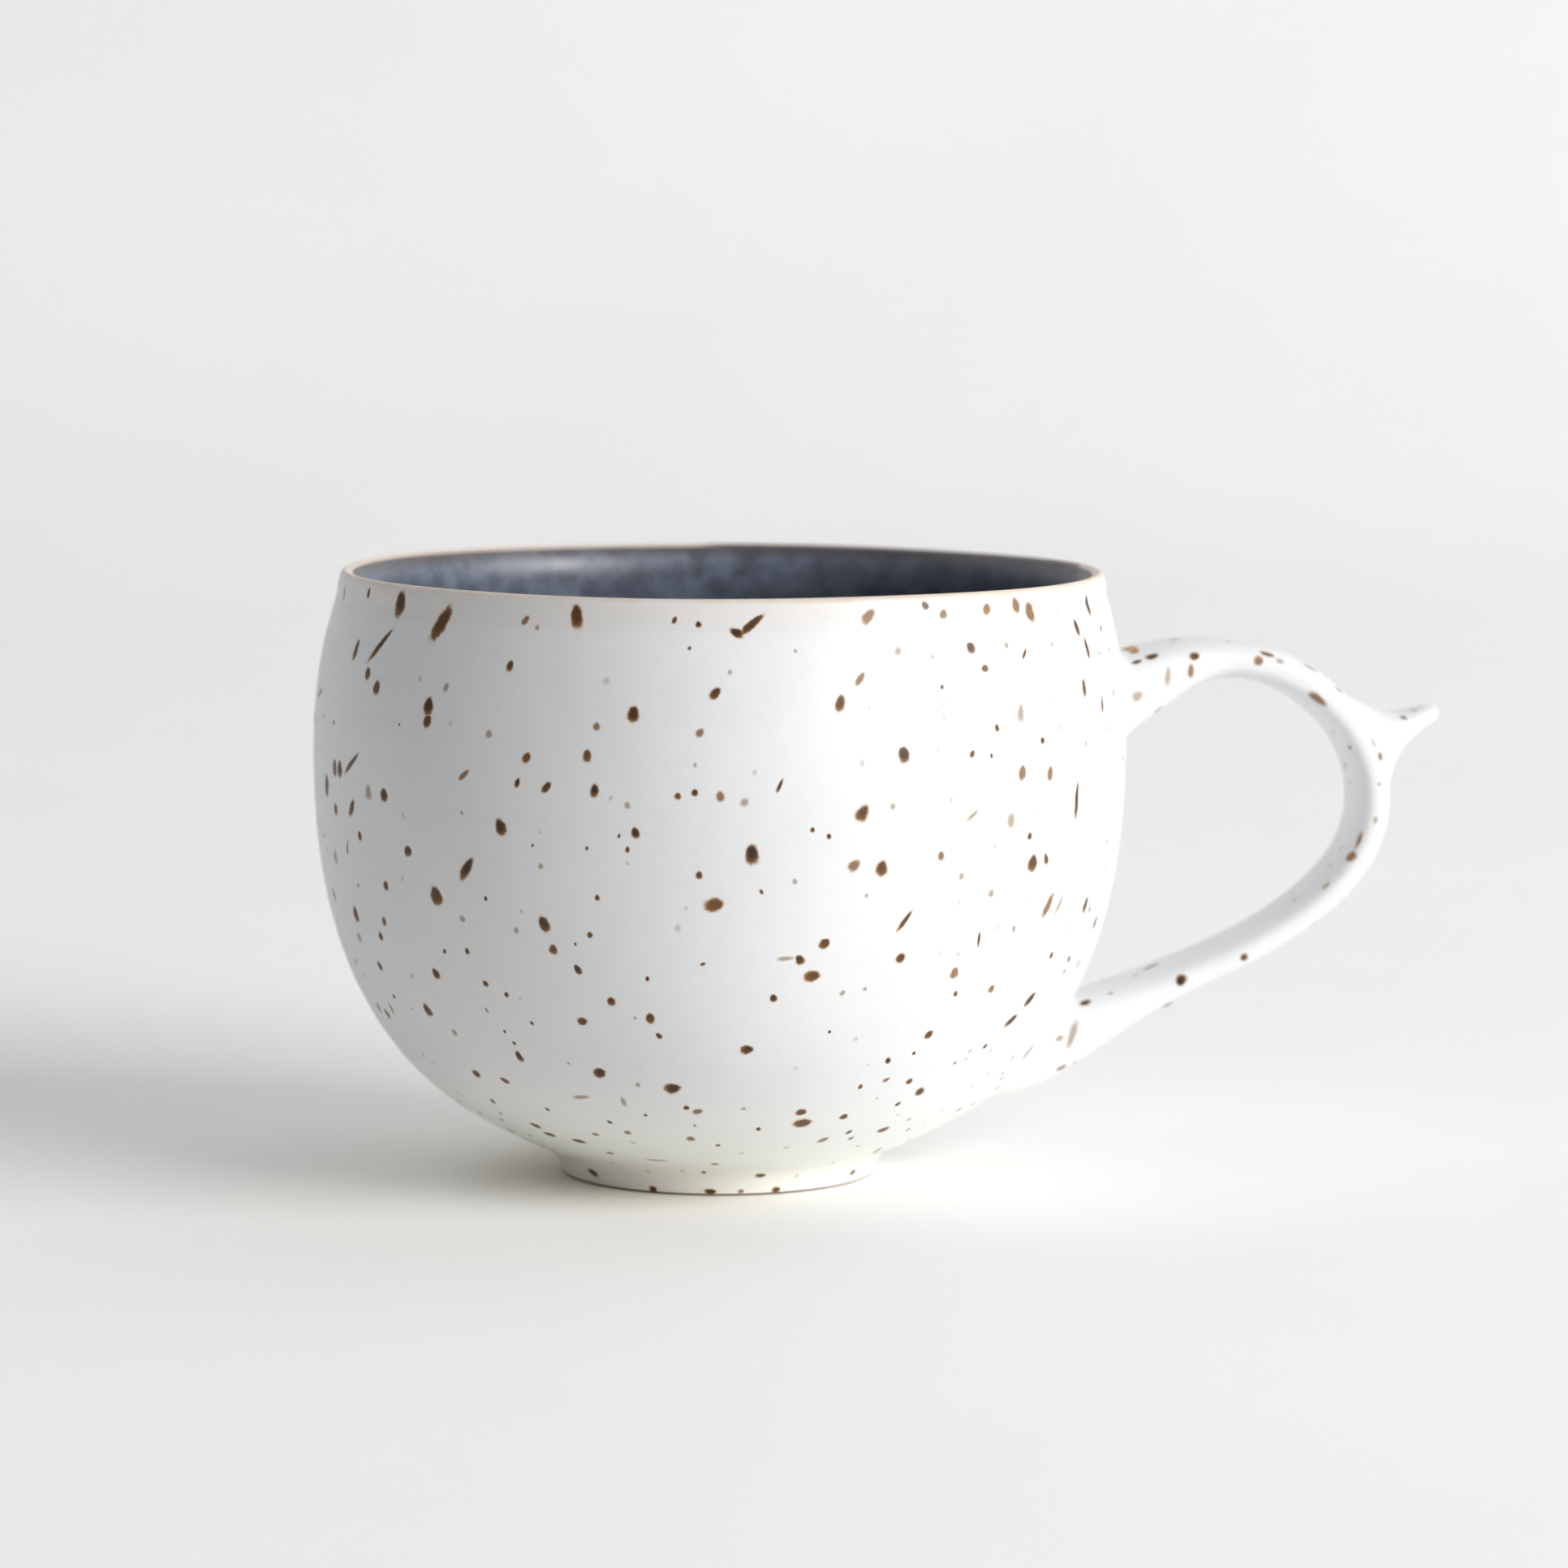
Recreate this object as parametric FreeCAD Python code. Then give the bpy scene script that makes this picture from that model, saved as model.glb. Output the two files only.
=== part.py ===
"""Wheel-thrown stoneware mug: round-bellied bowl, foot ring, pulled handle with a thumb spur, glazes.

Millimetres. The origin is the centre of the foot ring's resting plane, on the axis of the bowl.
+Z is up and +X points towards the handle. Every fired piece is its own solid, and neighbours
share their mating faces: nothing overlaps and nothing floats.
"""
import FreeCAD, Part
import math
import os
from FreeCAD import Vector

# ---- driving dimensions ----

GLAZE = 0.4                 # thickness of every glaze coat

# Clay bowl, as (radius, height). The outside runs from the foot crease up to the lip.
UNDERSIDE = 3.4             # height of the flat clay underside, where the foot ring is joined
CREASE_RADIUS = 20.6        # where the foot ring's outside meets the bowl
BOWL_OUTSIDE = [
    (CREASE_RADIUS, UNDERSIDE),
    (25.9, 5.8),
    (33.4, 10.3),
    (41.7, 19.2),
    (47.3, 32.0),
    (49.6, 50.0),
    (48.4, 66.0),
    (46.5, 73.2),
]
LIP_TOP = (45.75, 74.5)      # crown of the rounded clay lip
BOWL_INSIDE = [             # from the lip down to the middle of the floor
    (45.05, 73.6),
    (45.9, 66.0),
    (46.2, 50.0),
    (43.5, 32.0),
    (37.4, 19.5),
    (27.0, 11.6),
    (13.0, 8.4),
    (0.0, 8.0),
]
DOWN_THE_WALL = Vector(0.03, 0, -1)     # direction in which the inside leaves the lip
ACROSS_THE_FLOOR = Vector(-1, 0, 0)     # direction in which it reaches the middle of the floor

# Foot ring
FOOT_OUTER_RADIUS = 18.8    # outer edge of the bare resting face
FOOT_INNER_RADIUS = 15.9    # inner edge of the bare resting face
FOOT_BEVEL_RADIUS = 19.0    # the wiped edge, where the outside glaze stops
FOOT_BEVEL_HEIGHT = 0.35
RECESS_RADIUS = 15.0        # inside of the ring, at the underside of the bowl

# Handle strap: stations along its centre line, as (x, z, thickness, width).
# Thickness is measured across the strap in the plane of the loop, width along Y.
STRAP_STATIONS = [
    (43.5, 56.8, 8.9, 14.5),
    (50.4, 59.6, 6.6, 13.5),
    (56.8, 62.5, 5.4, 12.2),
    (62.6, 63.4, 3.9, 11.6),
    (69.4, 62.1, 3.6, 11.4),
    (76.0, 58.0, 3.6, 11.4),
    (80.7, 51.6, 3.7, 11.4),
    (81.9, 45.6, 3.7, 11.2),
    (80.6, 39.7, 3.4, 11.0),
    (76.0, 33.8, 3.1, 11.0),
    (66.8, 27.5, 3.2, 11.4),
    (56.6, 22.8, 3.7, 12.0),
    (49.2, 19.5, 4.8, 12.8),
    (42.0, 16.2, 5.7, 13.6),
    (34.0, 12.8, 6.0, 13.6),
    (26.5, 10.6, 3.3, 8.0),
]

# Thumb spur: a short horn drawn out of the strap's outer corner, flaring into it at its root, in
# the same (x, z, thickness, width) form.
SPUR_STATIONS = [
    (80.6, 52.2, 12.4, 10.2),
    (83.0, 53.3, 8.0, 9.4),
    (84.9, 54.4, 4.2, 7.8),
    (88.3, 55.8, 1.8, 4.6),
    (90.4, 56.4, 0.9, 2.4),
]
SPUR_BEAD = (90.9, 56.5, 0.3, 1.4)      # one station more, for the glaze bead over the spur's end

# Slip worked into each joint between strap and bowl, as how far it stands out from the strap at the
# stations of that end. At all the stations between, its outline lies under the strap's skin.
UPPER_SLIP = [1.0, 0.9, 0.2]
LOWER_SLIP = [0.2, 0.8, 0.8, 0.8]
SLIP_ENDED = -0.3
BARE_STATIONS = len(STRAP_STATIONS) - len(UPPER_SLIP) - len(LOWER_SLIP)
SLIP_STANDOUT = UPPER_SLIP + [SLIP_ENDED] * BARE_STATIONS + LOWER_SLIP

SECTION_POINTS = 20         # points round one strap section
SECTION_POWER = 2.8         # 2 would be an ellipse; more flattens the faces and rounds the edges


# ---- helpers ----

def curve_through(points, start=None, end=None):
    """A smooth curve in the XZ plane through (radius, height) points."""
    vectors = [Vector(x, 0, z) for x, z in points]
    curve = Part.BSplineCurve()
    if end is None:
        curve.interpolate(vectors)
    else:
        curve.interpolate(Points=vectors, InitialTangent=start, FinalTangent=end)
    return curve


def offset_points(points, curve, distance):
    """The points moved sideways from their curve; positive is to the right of its direction."""
    moved = []
    for x, z in points:
        tangent = curve.tangent(curve.parameter(Vector(x, 0, z)))[0]
        moved.append((x + distance * tangent.z, z - distance * tangent.x))
    return moved


def line(start, end):
    """A straight edge between two (radius, height) points."""
    return Part.makeLine(Vector(start[0], 0, start[1]), Vector(end[0], 0, end[1]))


def closed_outline(corners):
    """Straight edges round a list of (radius, height) corners, back to the first."""
    return [line(a, b) for a, b in zip(corners, corners[1:] + corners[:1])]


def turned(edges):
    """A full turn about Z of the closed outline made by the edges, its seam facing away from +X."""
    outline = Part.Wire(Part.__sortEdges__(edges))
    outline.rotate(Vector(0, 0, 0), Vector(0, 0, 1), 180)
    solid = Part.Face(outline).revolve(Vector(0, 0, 0), Vector(0, 0, 1), 360)
    return Part.Solid(solid) if solid.ShapeType == "Shell" else solid


def loft_section(position, tangent, thickness, width):
    """One closed, slightly squared oval across the centre line at a position."""
    across = Vector(tangent.z, 0, -tangent.x)
    points = []
    for step in range(SECTION_POINTS):
        angle = 2 * math.pi * step / SECTION_POINTS
        c, s = math.cos(angle), math.sin(angle)
        reach = (abs(c) ** SECTION_POWER + abs(s) ** SECTION_POWER) ** (-1 / SECTION_POWER)
        sideways = Vector(0, s * reach * width / 2, 0)
        points.append(position + across * (c * reach * thickness / 2) + sideways)
    curve = Part.BSplineCurve()
    curve.interpolate(points, PeriodicFlag=True)
    return Part.Wire(curve.toShape())


def swept_stations(stations, growths):
    """A solid loft through the stations, each one grown all round by its own amount."""
    spine = curve_through([(x, z) for x, z, thickness, width in stations])
    sections = []
    for (x, z, thickness, width), growth in zip(stations, growths):
        position = Vector(x, 0, z)
        tangent = spine.tangent(spine.parameter(position))[0]
        sections.append(loft_section(position, tangent, thickness + 2 * growth, width + 2 * growth))
    return Part.makeLoft(sections, True, False)


def largest_solid(shape):
    """The biggest solid of a boolean result, which drops slivers trapped inside the bowl."""
    return max(shape.Solids, key=lambda solid: solid.Volume)


# ---- the bowl and its coats ----

outside_curve = curve_through(BOWL_OUTSIDE)
inside_curve = curve_through(BOWL_INSIDE, DOWN_THE_WALL, ACROSS_THE_FLOOR)
outside_coat_points = offset_points(BOWL_OUTSIDE, outside_curve, GLAZE)
inside_coat_points = offset_points(BOWL_INSIDE, inside_curve, GLAZE)


def lip_arc(outer, crown, inner):
    """The rounded top of the wall, as an arc through three (radius, height) points."""
    return Part.Arc(*(Vector(radius, 0, height) for radius, height in (outer, crown, inner))).toShape()


def clay_lip():
    """The arc over the top of the clay wall."""
    return lip_arc(BOWL_OUTSIDE[-1], LIP_TOP, BOWL_INSIDE[0])


def clay_vessel():
    """The thrown bowl: wall, floor and rounded lip in one piece of clay."""
    return turned([
        outside_curve.toShape(),
        clay_lip(),
        inside_curve.toShape(),
        line(BOWL_INSIDE[-1], (0, UNDERSIDE)),
        line((0, UNDERSIDE), BOWL_OUTSIDE[0]),
    ])


def foot_ring():
    """The ring the mug stands on, joined under the bowl, with a wiped bevel on its outer edge."""
    corners = [
        (RECESS_RADIUS, UNDERSIDE),
        (FOOT_INNER_RADIUS, 0),
        (FOOT_OUTER_RADIUS, 0),
        (FOOT_BEVEL_RADIUS, FOOT_BEVEL_HEIGHT),
        (CREASE_RADIUS, UNDERSIDE),
    ]
    return turned(closed_outline(corners))


def outside_coat():
    """The white coat, from the foot ring's bevel up the whole outside and over the lip."""
    bevel = (FOOT_BEVEL_RADIUS, FOOT_BEVEL_HEIGHT)
    coat_edge = (FOOT_BEVEL_RADIUS + GLAZE, FOOT_BEVEL_HEIGHT)
    coat_crown = (LIP_TOP[0], LIP_TOP[1] + GLAZE)
    return turned([
        outside_curve.toShape(),
        clay_lip(),
        line(BOWL_INSIDE[0], inside_coat_points[0]),
        lip_arc(inside_coat_points[0], coat_crown, outside_coat_points[-1]),
        curve_through(outside_coat_points).toShape(),
        line(outside_coat_points[0], coat_edge),
        line(coat_edge, bevel),
        line(bevel, BOWL_OUTSIDE[0]),
    ])


def liner_glaze():
    """The dark coat on the wall and floor inside, up to where the white coat rolls over the lip."""
    coat_curve = curve_through(inside_coat_points, DOWN_THE_WALL, ACROSS_THE_FLOOR)
    return turned([
        inside_curve.toShape(),
        line(BOWL_INSIDE[0], inside_coat_points[0]),
        coat_curve.toShape(),
        line(inside_coat_points[-1], BOWL_INSIDE[-1]),
    ])


def base_glaze():
    """The white coat on the clay underside, inside the foot ring."""
    corners = [
        (0, UNDERSIDE - GLAZE),
        (RECESS_RADIUS, UNDERSIDE - GLAZE),
        (RECESS_RADIUS, UNDERSIDE),
        (0, UNDERSIDE),
    ]
    return turned(closed_outline(corners))


# ---- the handle and its coats ----

def both_lutings(bare_clay):
    """The slip round the strap's upper end and round its lower end, outside the bare clay."""
    slip = swept_stations(STRAP_STATIONS, SLIP_STANDOUT).cut(bare_clay)
    two_largest = sorted(slip.Solids, key=lambda solid: solid.Volume)[-2:]
    lower, upper = sorted(two_largest, key=lambda solid: solid.CenterOfMass.z)
    return upper, lower


def bare(stations):
    """A loft of the clay alone."""
    return swept_stations(stations, [0] * len(stations))


def coated(stations, standouts):
    """A loft of the clay, any slip that stands out from it, and the coat over both."""
    return swept_stations(stations, [GLAZE + max(standout, 0) for standout in standouts])


vessel = clay_vessel()
filled_vessel = turned([
    outside_curve.toShape(),
    line(BOWL_OUTSIDE[-1], (0, BOWL_OUTSIDE[-1][1])),
    line((0, BOWL_OUTSIDE[-1][1]), (0, UNDERSIDE)),
    line((0, UNDERSIDE), BOWL_OUTSIDE[0]),
])

bare_strap = bare(STRAP_STATIONS)
bare_spur = bare(SPUR_STATIONS)
coated_spur = coated(SPUR_STATIONS + [SPUR_BEAD], [0] * (len(SPUR_STATIONS) + 1))
coated_handle = coated(STRAP_STATIONS, SLIP_STANDOUT).fuse(coated_spur)

handle_strap = largest_solid(bare_strap.cut(filled_vessel))
thumb_spur = largest_solid(bare_spur.cut(bare_strap))
upper_luting, lower_luting = both_lutings(bare_strap.fuse(filled_vessel))
handle_glaze = largest_solid(
    coated_handle.cut(bare_strap.fuse([bare_spur, upper_luting, lower_luting, filled_vessel]))
)
outer_glaze = largest_solid(outside_coat().cut(coated_handle))

NODES = {
    "clay_vessel": vessel,
    "foot_ring": foot_ring(),
    "handle_strap": handle_strap,
    "thumb_spur": thumb_spur,
    "upper_luting": upper_luting,
    "lower_luting": lower_luting,
    "outer_glaze": outer_glaze,
    "liner_glaze": liner_glaze(),
    "handle_glaze": handle_glaze,
    "base_glaze": base_glaze(),
}

os.makedirs("parts", exist_ok=True)
for name, shape in NODES.items():
    shape.exportStep("parts/" + name + ".step")
    print(name, len(shape.Solids), "solid,", round(shape.Volume, 1), "mm3, valid:", shape.isValid())
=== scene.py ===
"""Looks of a speckled stoneware mug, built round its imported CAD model.

Sizes in the tables are millimetres in the mug's own frame: +Z up, +X towards the handle, origin at
the middle of the foot ring's resting plane. They turn into metres when a mesh or a light is made.
"""

import math
import random

import bmesh
import bpy
import numpy as np
from mathutils import Matrix, Vector, kdtree, noise


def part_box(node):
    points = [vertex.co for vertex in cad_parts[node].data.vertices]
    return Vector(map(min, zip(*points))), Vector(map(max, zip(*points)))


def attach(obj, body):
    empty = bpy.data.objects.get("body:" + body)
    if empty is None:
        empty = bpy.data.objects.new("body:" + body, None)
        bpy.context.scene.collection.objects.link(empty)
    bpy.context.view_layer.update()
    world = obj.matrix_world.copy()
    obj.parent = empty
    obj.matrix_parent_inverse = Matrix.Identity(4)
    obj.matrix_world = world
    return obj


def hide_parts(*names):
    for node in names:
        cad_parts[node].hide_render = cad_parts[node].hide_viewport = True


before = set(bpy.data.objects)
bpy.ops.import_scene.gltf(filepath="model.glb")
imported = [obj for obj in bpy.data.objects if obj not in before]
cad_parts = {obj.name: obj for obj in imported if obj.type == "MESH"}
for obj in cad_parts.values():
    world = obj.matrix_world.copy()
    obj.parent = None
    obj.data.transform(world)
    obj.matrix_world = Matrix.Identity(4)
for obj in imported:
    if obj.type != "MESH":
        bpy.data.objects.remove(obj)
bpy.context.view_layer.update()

MM = 0.001
BODY = "root"

# ---- sizes read from the frame ----

BELLY_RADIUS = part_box("outer_glaze")[1].y / MM
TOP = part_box("outer_glaze")[1].z / MM
HANDLE_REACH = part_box("handle_glaze")[1].x / MM
RECESS_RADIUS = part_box("base_glaze")[1].x / MM
RECESS_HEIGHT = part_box("base_glaze")[0].z / MM
CLAY_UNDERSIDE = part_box("clay_vessel")[0].z / MM

# ---- the pot's outlines, as (radius, height) ----

GLAZED_OUTSIDE = [
    (19.4, 0.3),
    (20.1, 1.9),
    (21.1, 3.0),
    (23.2, 4.1),
    (26.1, 5.5),
    (33.7, 10.0),
    (42.0, 18.95),
    (47.65, 31.9),
    (50.0, 50.0),
    (48.8, 66.0),
    (47.2, 72.2),
]
GLAZED_INSIDE = [
    (45.4, 74.55),
    (44.7, 73.2),
    (45.5, 66.0),
    (45.8, 50.0),
    (43.1, 32.15),
    (37.1, 19.8),
    (26.8, 12.0),
    (12.9, 8.8),
    (0.0, 8.4),
]
COAT = 0.4                  # thickness of the glaze
FOOT_RING = [               # bare clay ring: outer wall, resting face with rounded edges, recess wall
    (20.6, 3.4),
    (19.3, 0.8),
    (19.0, 0.25),
    (18.5, 0.0),
    (16.3, 0.0),
    (15.8, 0.3),
    (15.0, 3.4),
]
LIP_SHIFT = 0.3             # how far the lip sits off centre, towards the handle
LIP_DROP = 0.15             # how far the lip's middle height stays under the CAD's
LIP_OVALS = [               # (waves round the lip, size as a share of the radius, phase)
    (2, 0.0010, 0.6),
    (3, 0.0006, 2.0),
]
LIP_DIPS = [                # (waves round the lip, height, phase)
    (2, 0.10, 1.2),
    (5, 0.05, 0.0),
]
TRIMMING_RINGS = [          # (radians per mm of height, depth, phase)
    (1.35, 0.014, 0.0),
    (3.1, 0.008, 1.0),
]
TURNS = 320                 # segments round the pot
ROW = 0.4                   # height of one row of faces

# ---- the handle's glazed strap, as (x, z, thickness, width) along its centre line ----

STRAP = [
    (43.5, 56.8, 11.8, 17.4),
    (50.4, 59.6, 9.3, 16.2),
    (56.8, 62.5, 6.7, 13.5),
    (62.6, 63.4, 4.8, 12.5),
    (69.4, 62.1, 4.5, 12.3),
    (76.0, 58.0, 4.5, 12.3),
    (80.7, 51.6, 4.6, 12.3),
    (81.9, 45.6, 4.6, 12.1),
    (80.6, 39.7, 4.3, 11.9),
    (76.0, 33.8, 4.0, 11.9),
    (66.8, 27.5, 4.1, 12.3),
    (56.6, 22.8, 4.6, 12.9),
    (49.2, 19.5, 6.1, 14.1),
    (42.0, 16.2, 8.2, 16.1),
    (34.0, 12.8, 8.5, 16.1),
    (26.5, 10.6, 5.8, 10.5),
]
SECTION_POWER = 2.8         # 2 is an ellipse; more flattens the strap's faces
STRAP_SIDES = 108           # points round the strap
STRAP_ROWS = 480            # rows along the strap
FILLET_ROWS = 12            # rows of each fillet between strap and bowl
UPPER_FILLET = (2.0, 1.3)   # reach along the strap, reach along the bowl
LOWER_FILLET = (3.0, 2.0)
TUCK = 0.8                  # how far the ends of the handle's coat go in under the bowl's skin
CROWDING = 0.42             # draws the strap's points together on the outer face, where the spur grows
UNEVENNESS = 0.13           # how far the handle's skin wanders
UNEVEN_GRAIN = 9.0          # size of one wander
UNEVEN_SEED = 4             # which wander it is
UNEVEN_START = 52           # distance from the pot's axis where the wander starts
UNEVEN_RISE = 6             # distance over which it grows to its full size

# ---- the thumb spur, a horn drawn out of the strap's outer face ----

SPUR_ROOT = (83.0, 53.3)
SPUR_TIP = (HANDLE_REACH - 0.2, 56.7)
SPUR_LENGTH = math.dist(SPUR_ROOT, SPUR_TIP)
SPUR_SECTIONS = [           # (height above the root, half thickness, half width)
    (-9.0, 7.3, 6.2),
    (-4.0, 7.0, 5.9),
    (-2.6, 6.5, 5.6),
    (0.0, 4.4, 5.1),
    (2.2, 2.7, 4.4),
    (5.8, 1.45, 2.8),
    (SPUR_LENGTH - 0.9, 1.05, 1.8),
    (SPUR_LENGTH - 0.25, 0.6, 1.1),
    (SPUR_LENGTH, 0.0, 0.0),
]
SPUR_POWER = 2.3
SPUR_BLEND = 2.0            # width of the soft hollow round the spur's foot
NO_HORN = -1000.0           # height that stands for "outside the horn"


# ---- geometry helpers ----

def spline(points, count):
    """Evenly spaced rows on the smooth curve through rows of (first, second, anything else)."""
    rows = np.array(points, float)
    knots = np.r_[0, np.cumsum(np.hypot(*np.diff(rows[:, :2], axis=0).T))]
    gaps = np.diff(knots)
    last = len(rows) - 1
    system = np.eye(last + 1)
    wanted = np.zeros_like(rows)
    for i in range(1, last):
        system[i, i - 1:i + 2] = gaps[i - 1], 2 * (gaps[i - 1] + gaps[i]), gaps[i]
        wanted[i] = 6 * ((rows[i + 1] - rows[i]) / gaps[i] - (rows[i] - rows[i - 1]) / gaps[i - 1])
    bend = np.linalg.solve(system, wanted)

    def at(where):
        i = np.clip(np.searchsorted(knots, where, side="right") - 1, 0, last - 1)
        gap = gaps[i][:, None]
        after = (where - knots[i])[:, None]
        before = gap - after
        cubic = (bend[i] * before ** 3 + bend[i + 1] * after ** 3) / (6 * gap)
        start = (rows[i] / gap - bend[i] * gap / 6) * before
        end = (rows[i + 1] / gap - bend[i + 1] * gap / 6) * after
        return cubic + start + end

    fine = np.linspace(0, knots[-1], 40 * count)
    curve = at(fine)
    run = np.r_[0, np.cumsum(np.hypot(*np.diff(curve[:, :2], axis=0).T))]
    return at(np.interp(np.linspace(0, run[-1], count), run, fine))


def row_count(points):
    """How many rows an outline needs for faces about ROW high."""
    return int(np.hypot(*np.diff(np.array(points), axis=0).T).sum() / ROW) + 2


def lip_arc(outer, inner, crown, count=16):
    """Points over the lip, a half ellipse from the outer wall to the inner one."""
    points = []
    for step in range(1, count):
        turn = math.pi * step / count
        share = (1 - math.cos(turn)) / 2
        base = outer[1] + (inner[1] - outer[1]) * share
        points.append((outer[0] + (inner[0] - outer[0]) * share, base + (crown - base) * math.sin(turn)))
    return np.array(points)


def inset(outline, distance):
    """An outline moved sideways, to the left of its direction."""
    along = np.gradient(outline, axis=0)
    along /= np.linalg.norm(along, axis=1)[:, None]
    return outline + distance * np.c_[-along[:, 1], along[:, 0]]


def as_thrown(points):
    """Moves points in mm the way a hand-thrown wall wanders: slightly oval, its lip off centre."""
    x, y, z = points.T
    turn = np.arctan2(y, x)
    rise = np.clip(z / TOP, 0, 1)
    wander = sum(size * np.cos(count * turn + phase) for count, size, phase in LIP_OVALS)
    dip = sum(size * np.cos(count * turn + phase) for count, size, phase in LIP_DIPS) - LIP_DROP
    grow = 1 + rise * wander
    return np.c_[x * grow + LIP_SHIFT * rise ** 4, y * grow, z + rise ** 4 * dip]


def new_piece(name, points, faces, slot, *replaced):
    """A mesh piece from points in mm, riding on the mug and standing for some CAD nodes."""
    mesh = bpy.data.meshes.new(name)
    mesh.from_pydata((np.asarray(points) * MM).tolist(), [], faces)
    tidy = bmesh.new()
    tidy.from_mesh(mesh)
    bmesh.ops.recalc_face_normals(tidy, faces=tidy.faces)
    tidy.to_mesh(mesh)
    tidy.free()
    mesh.shade_smooth()
    mesh.set_sharp_from_angle(angle=math.radians(50))
    piece = bpy.data.objects.new(name, mesh)
    bpy.context.scene.collection.objects.link(piece)
    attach(piece, BODY)
    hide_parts(*replaced)
    return piece


def turned(loop, closed=True):
    """Points and faces of a (radius, height) loop turned about Z; a radius of 0 makes a pole."""
    points = []
    rings = []
    turns = np.linspace(0, 2 * math.pi, TURNS, endpoint=False)
    for radius, height in loop:
        steps = turns if radius > 1e-6 else turns[:1]
        rings.append(len(points) + np.arange(len(steps)))
        points += [(radius * math.cos(t), radius * math.sin(t), height) for t in steps]
    faces = []
    pairs = list(zip(rings, rings[1:]))
    if closed:
        pairs.append((rings[-1], rings[0]))
    for lower, upper in pairs:
        for i in range(TURNS):
            a, b = lower[i % len(lower)], lower[(i + 1) % len(lower)]
            c, d = upper[(i + 1) % len(upper)], upper[i % len(upper)]
            corners = list(dict.fromkeys(int(v) for v in (a, b, c, d)))
            if len(corners) > 2:
                faces.append(corners)
    return as_thrown(np.array(points)), faces


# ---- the pot ----

outside_wall = spline(GLAZED_OUTSIDE, row_count(GLAZED_OUTSIDE))
outside_wall[:, 0] *= BELLY_RADIUS / outside_wall[:, 0].max()
inside_wall = spline(GLAZED_INSIDE, row_count(GLAZED_INSIDE))
over_lip = lip_arc(outside_wall[-1], inside_wall[0], TOP)
outside_skin = np.vstack([outside_wall, over_lip, inside_wall[:1]])


def trimming_rings(outline):
    """The faint rings a trimming tool and fingers leave, strongest low on the wall."""
    height = outline[:, 1]
    fade = np.clip((height - 6) / 10, 0, 1) * np.clip((72 - height) / 10, 0, 1)
    ripple = sum(depth * np.sin(height * pitch + phase) for pitch, depth, phase in TRIMMING_RINGS)
    rings = outline.copy()
    rings[:, 0] += fade * ripple
    return rings


def make_outside_coat():
    """The white coat: up the whole outside and rolled over the lip, one coat thick."""
    skin = trimming_rings(outside_skin)
    back = inset(outside_skin, COAT)[::-1]
    points, faces = turned(np.vstack([skin, back]))
    return new_piece("glaze_outside", points, faces, "speckled_white_glaze", "outer_glaze")


def make_inside_coat():
    """The dark coat on the wall and floor inside."""
    skin = inside_wall
    back = inset(skin, COAT)[::-1]
    back[0, 0] = 0.0
    points, faces = turned(np.vstack([skin, back]))
    return new_piece("glaze_inside", points, faces, "slate_liner_glaze", "liner_glaze")


def make_bowl():
    """The thrown clay between the two coats."""
    outer = inset(outside_skin, COAT)
    above_foot = outer[outer[:, 1] > CLAY_UNDERSIDE]
    inner = inset(inside_wall, COAT)
    inner[-1, 0] = 0.0
    loop = np.vstack([[(0.0, CLAY_UNDERSIDE)], above_foot, inner[1:]])
    points, faces = turned(loop, closed=False)
    return new_piece("bowl_clay", points, faces, "bare_clay", "clay_vessel")


def make_foot():
    """The bare clay foot ring with its rounded resting face."""
    bottom = spline(FOOT_RING, 60)
    bottom[:, 1] = np.maximum(bottom[:, 1], 0.0)
    points, faces = turned(bottom)
    return new_piece("foot_clay", points, faces, "bare_clay", "foot_ring")


def make_recess_coat():
    """The white coat on the underside inside the foot ring, slightly domed where it pooled."""
    radii = np.linspace(RECESS_RADIUS + 0.1, 0, 60)
    edge = np.clip((RECESS_RADIUS - radii) / 1.5, 0, 1)
    skin = np.c_[radii, RECESS_HEIGHT - 0.25 * (1 - edge) ** 2]
    back = [(0.0, CLAY_UNDERSIDE), (RECESS_RADIUS + 0.1, CLAY_UNDERSIDE)]
    points, faces = turned(np.vstack([skin, back]))
    return new_piece("glaze_base", points, faces, "speckled_white_glaze", "base_glaze")


# ---- the handle ----

def bowl_radius(height):
    """Radius of the glazed outside at a height."""
    return np.interp(height, outside_wall[:, 1], outside_wall[:, 0])


def depth_in_bowl(points):
    """How far points lie inside the glazed outside; negative outside it."""
    return bowl_radius(points[..., 2]) - np.hypot(points[..., 0], points[..., 1])


def onto_bowl(points):
    """Points moved straight in or out to the glazed outside."""
    scale = bowl_radius(points[:, 2]) / np.hypot(points[:, 0], points[:, 1])
    return np.c_[points[:, 0] * scale, points[:, 1] * scale, points[:, 2]]


def strap_lines():
    """The strap's skin as points [row, side, xyz], its centre line, and which sides face outwards."""
    stations = spline(STRAP, STRAP_ROWS)
    centre = np.c_[stations[:, 0], np.zeros(STRAP_ROWS), stations[:, 1]]
    along = np.gradient(centre, axis=0)
    along /= np.linalg.norm(along, axis=1)[:, None]
    across = np.c_[along[:, 2], np.zeros(STRAP_ROWS), -along[:, 0]]
    turn = np.linspace(0, 2 * math.pi, STRAP_SIDES, endpoint=False)
    turn = turn + CROWDING * np.sin(turn)
    c, s = np.cos(turn), np.sin(turn)
    reach = (np.abs(c) ** SECTION_POWER + np.abs(s) ** SECTION_POWER) ** (-1 / SECTION_POWER)
    thick = stations[:, 2, None] / 2 * (c * reach)
    wide = stations[:, 3, None] / 2 * (s * reach)
    lines = centre[:, None] + across[:, None] * thick[..., None]
    lines[..., 1] += wide
    return lines, centre, np.nonzero(c < 0)[0]


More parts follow.
